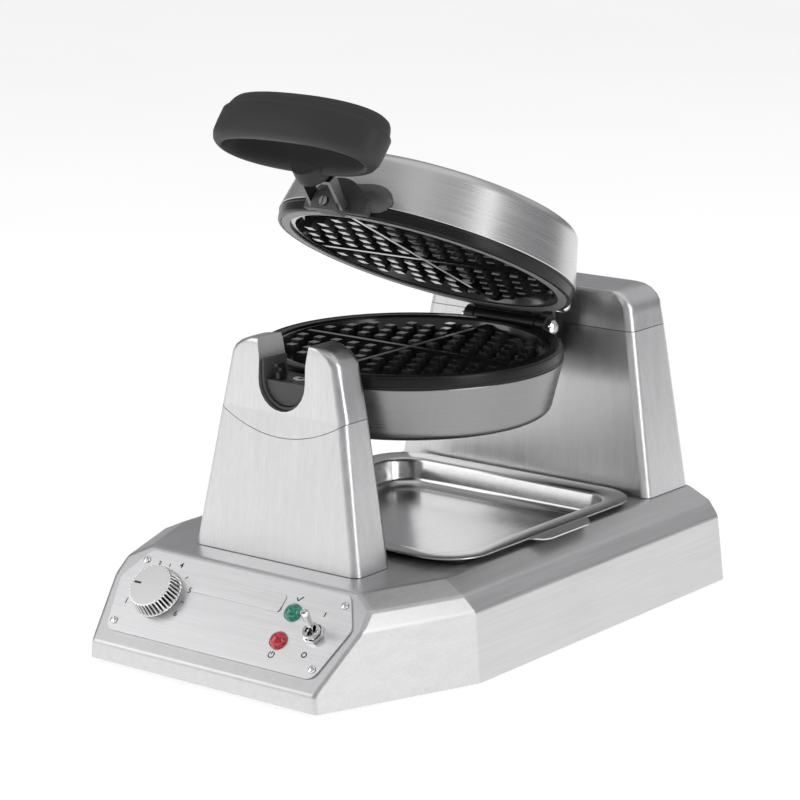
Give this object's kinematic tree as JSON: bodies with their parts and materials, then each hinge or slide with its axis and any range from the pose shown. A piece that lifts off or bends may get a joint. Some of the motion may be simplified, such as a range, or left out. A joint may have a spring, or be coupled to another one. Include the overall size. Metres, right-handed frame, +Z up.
{
  "type": "waffle maker",
  "caption": "Turn-over waffle maker: round hinged grid plates on a rotor between posts, folding loop handle, lift-out drip tray, and a sheet-steel base with a sloping control panel.",
  "frame": {"origin": "on the worktop, under the middle of the footprint, the cord gland at the back included", "axes": "+Z up; -Y towards the control panel and the cook; +X to the cook's right, the side of the lamps and the switch"},
  "size_m": [0.262, 0.394, 0.3491],
  "materials": {
    "base_steel": "satin",
    "post_steel": "satin",
    "casing_steel": "satin",
    "tray_steel": "polished",
    "bright_metal": "polished",
    "black_coated_metal": "satin",
    "inner_metal": "matte",
    "nonstick_aluminium": "gloss",
    "seal_grey": "matte",
    "grey_moulding": "satin",
    "handle_plastic": "satin",
    "foot_rubber": "matte",
    "heater_sheath": "matte",
    "mineral_wool": "matte",
    "terminal_ceramic": "matte",
    "lamp_green": "gloss",
    "lamp_red": "gloss",
    "dial_white": "satin",
    "dial_black": "matte"
  },
  "bodies": {
    "base": {"base_shell": "base_steel", "base_pan": "inner_metal", "foot_front_left": "foot_rubber", "foot_front_right": "foot_rubber", "foot_rear_left": "foot_rubber", "foot_rear_right": "foot_rubber", "tray_well": "black_coated_metal", "control_panel": "base_steel", "panel_screw_lower_left": "bright_metal", "panel_screw_lower_right": "bright_metal", "panel_screw_upper_left": "bright_metal", "panel_screw_upper_right": "bright_metal", "badge_plate": "base_steel", "thermostat": "inner_metal", "ready_lamp": "lamp_green", "power_lamp": "lamp_red", "switch_nut": "bright_metal", "switch_body": "bright_metal", "front_post_cover": "post_steel", "front_post_cap": "post_steel", "front_bearing_liner": "grey_moulding", "front_post_frame": "inner_metal", "rear_post_cover": "post_steel", "rear_post_cap": "post_steel", "rear_bearing": "grey_moulding", "rear_post_frame": "inner_metal", "cord_gland": "foot_rubber", "terminal_block": "terminal_ceramic"},
    "rotor": {"lower_grid_plate": "nonstick_aluminium", "lower_rim": "black_coated_metal", "lower_casing": "casing_steel", "lower_heater": "heater_sheath", "lower_insulation": "mineral_wool", "front_journal": "grey_moulding", "journal_washer": "bright_metal", "latch_hook": "black_coated_metal", "lower_hinge_bracket": "black_coated_metal", "hinge_pin": "bright_metal", "rotor_shaft": "bright_metal", "shaft_retainer": "inner_metal"},
    "lid": {"lid_rim": "black_coated_metal", "lid_seal_ring": "seal_grey", "lid_grid_plate": "nonstick_aluminium", "lid_casing": "casing_steel", "lid_heater": "heater_sheath", "lid_insulation": "mineral_wool", "lid_hinge_arm": "black_coated_metal", "lid_stop_stud_right": "bright_metal", "lid_stop_stud_left": "bright_metal", "lid_front_bracket": "grey_moulding", "tongue_screw": "bright_metal", "fold_pin": "bright_metal"},
    "handle": {"handle_grip": "handle_plastic", "handle_fork": "bright_metal"},
    "knob": {"thermostat_knob": "bright_metal", "knob_cap": "dial_white", "knob_pointer": "dial_black"},
    "lever": {"switch_lever": "bright_metal"},
    "tray": {"drip_tray": "tray_steel"}
  },
  "joints": [
    {"name": "flip", "type": "hinge", "parent": "base", "child": "rotor", "pos_m": [0, 0.009, 0.175], "axis": [0, 1, 0], "range_deg": [0, 95]},
    {"name": "lid_hinge", "type": "hinge", "parent": "rotor", "child": "lid", "pos_m": [0, 0.1165, 0.1735], "axis": [1, 0, 0], "range_deg": [-27, 27]},
    {"name": "handle_fold", "type": "hinge", "parent": "lid", "child": "handle", "pos_m": [0, -0.0701, 0.2786], "axis": [1, 0, 0], "range_deg": [-35, 30]},
    {"name": "thermostat_dial", "type": "hinge", "parent": "base", "child": "knob", "pos_m": [-0.057, -0.16906, 0.04244], "axis": [0, -0.7071, 0.7071], "range_deg": [-206, 24]},
    {"name": "power_switch", "type": "hinge", "parent": "base", "child": "lever", "pos_m": [0.0685, -0.1718, 0.0425], "axis": [1, 0, 0], "range_deg": [0, 32]},
    {"name": "tray_lift", "type": "slide", "parent": "base", "child": "tray", "axis": [0, 0, -1], "range_m": [-0.04, 0]}
  ]
}
